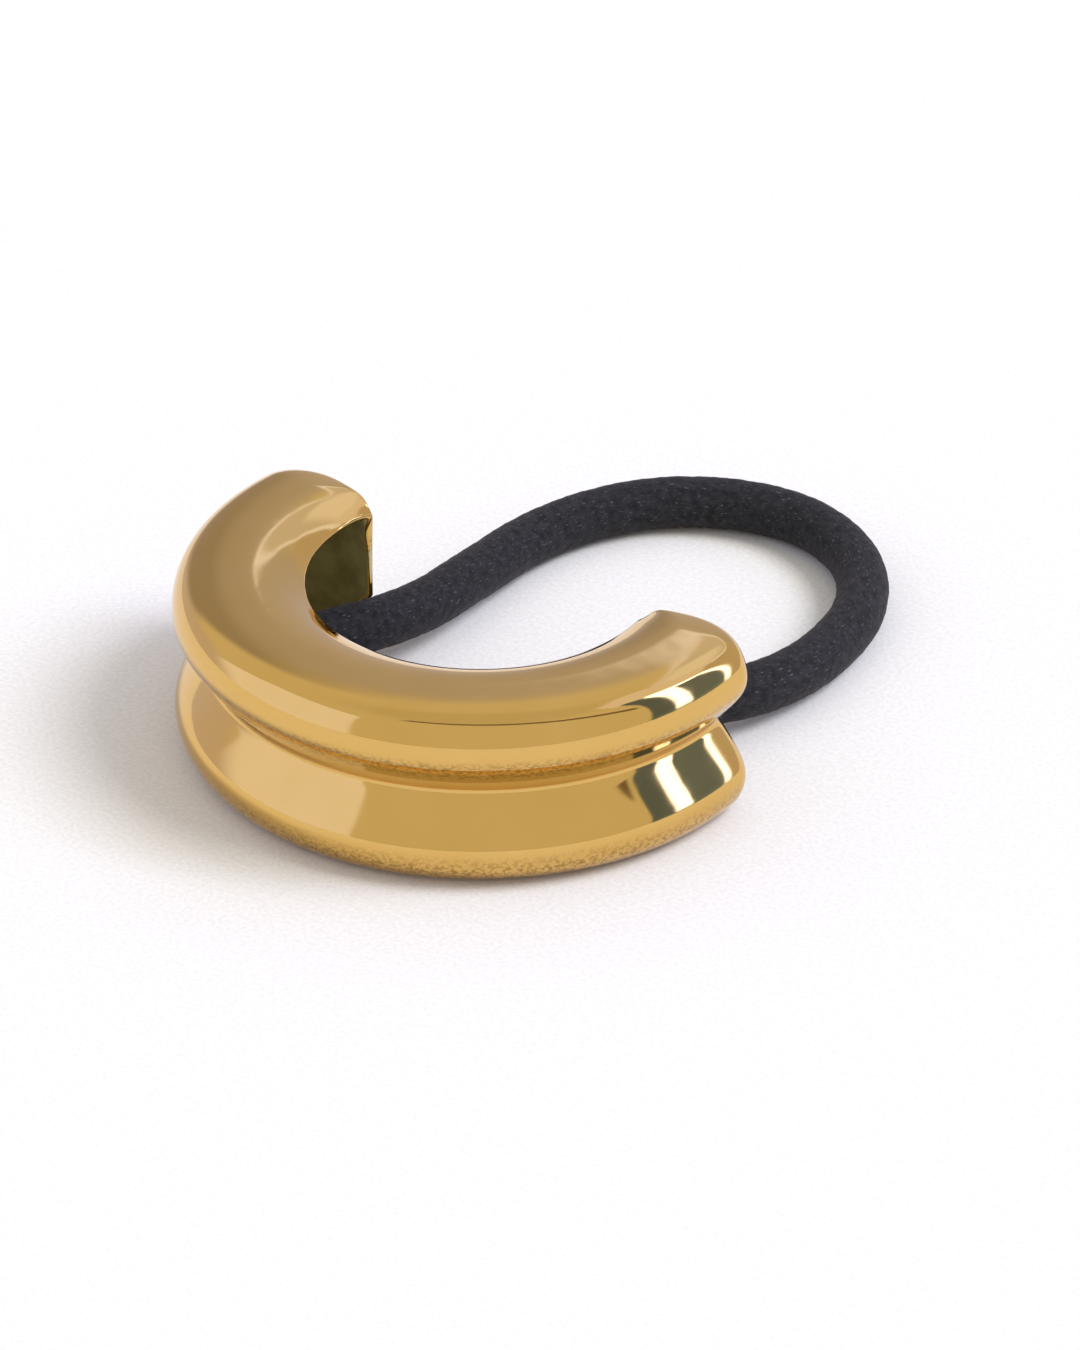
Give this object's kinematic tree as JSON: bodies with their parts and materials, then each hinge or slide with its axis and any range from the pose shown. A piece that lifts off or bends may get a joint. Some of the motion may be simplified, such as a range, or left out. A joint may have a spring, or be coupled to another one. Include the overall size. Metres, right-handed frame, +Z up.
{
  "type": "ponytail cuff",
  "caption": "Hollow double-ridged metal cuff bent in a C, with a round black elastic loop held in its open channel.",
  "frame": {"origin": "centre of the C's ring, on the surface that the cuff lies on", "axes": "+Z up through the hair opening; closed side of the C towards -Y, open side and elastic loop towards +Y; +X to the right"},
  "size_m": [0.046, 0.0627, 0.0144],
  "materials": {
    "plated_metal": "polished warm gold plating over brass",
    "elastic": "matte black braided cover over rubber"
  },
  "bodies": {
    "root": {"cuff_shell": "plated_metal", "elastic_band": "elastic"}
  },
  "joints": []
}
